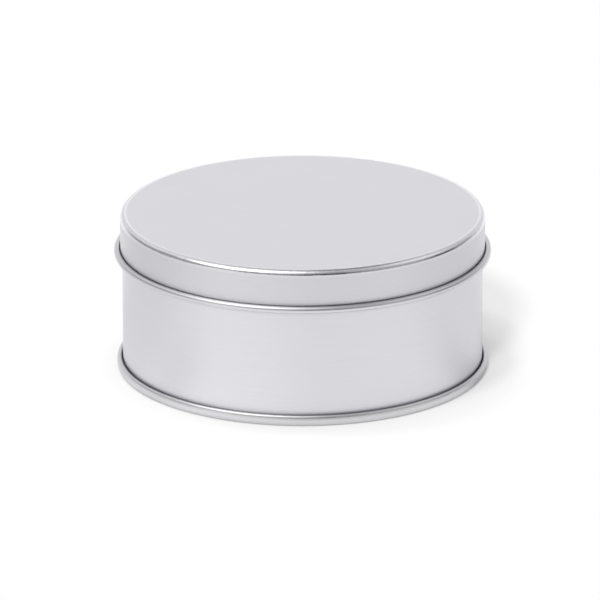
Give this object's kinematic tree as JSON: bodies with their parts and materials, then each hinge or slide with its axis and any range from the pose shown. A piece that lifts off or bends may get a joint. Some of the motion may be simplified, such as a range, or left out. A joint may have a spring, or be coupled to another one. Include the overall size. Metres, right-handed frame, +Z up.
{
  "type": "round tin",
  "caption": "Low round tinplate tin with a slip lid: flat top, rounded shoulder and outward-curled rim over a straight wall seamed to its base.",
  "frame": {"origin": "on the surface that the tin stands on, under its middle", "axes": "+Z up along the tin's axis; the body wall's side seam is at +Y, the back"},
  "size_m": [0.0942, 0.0942, 0.04],
  "materials": {
    "lid": "satin tinplate",
    "body_wall": "satin tinplate",
    "base": "satin tinplate"
  },
  "bodies": {
    "tin": {"body_wall": "body_wall", "base": "base"},
    "lid": {"lid": "lid"}
  },
  "joints": [
    {"name": "lid_lift", "type": "slide", "parent": "tin", "child": "lid", "axis": [0, 0, 1], "range_m": [0, 0.06]}
  ]
}
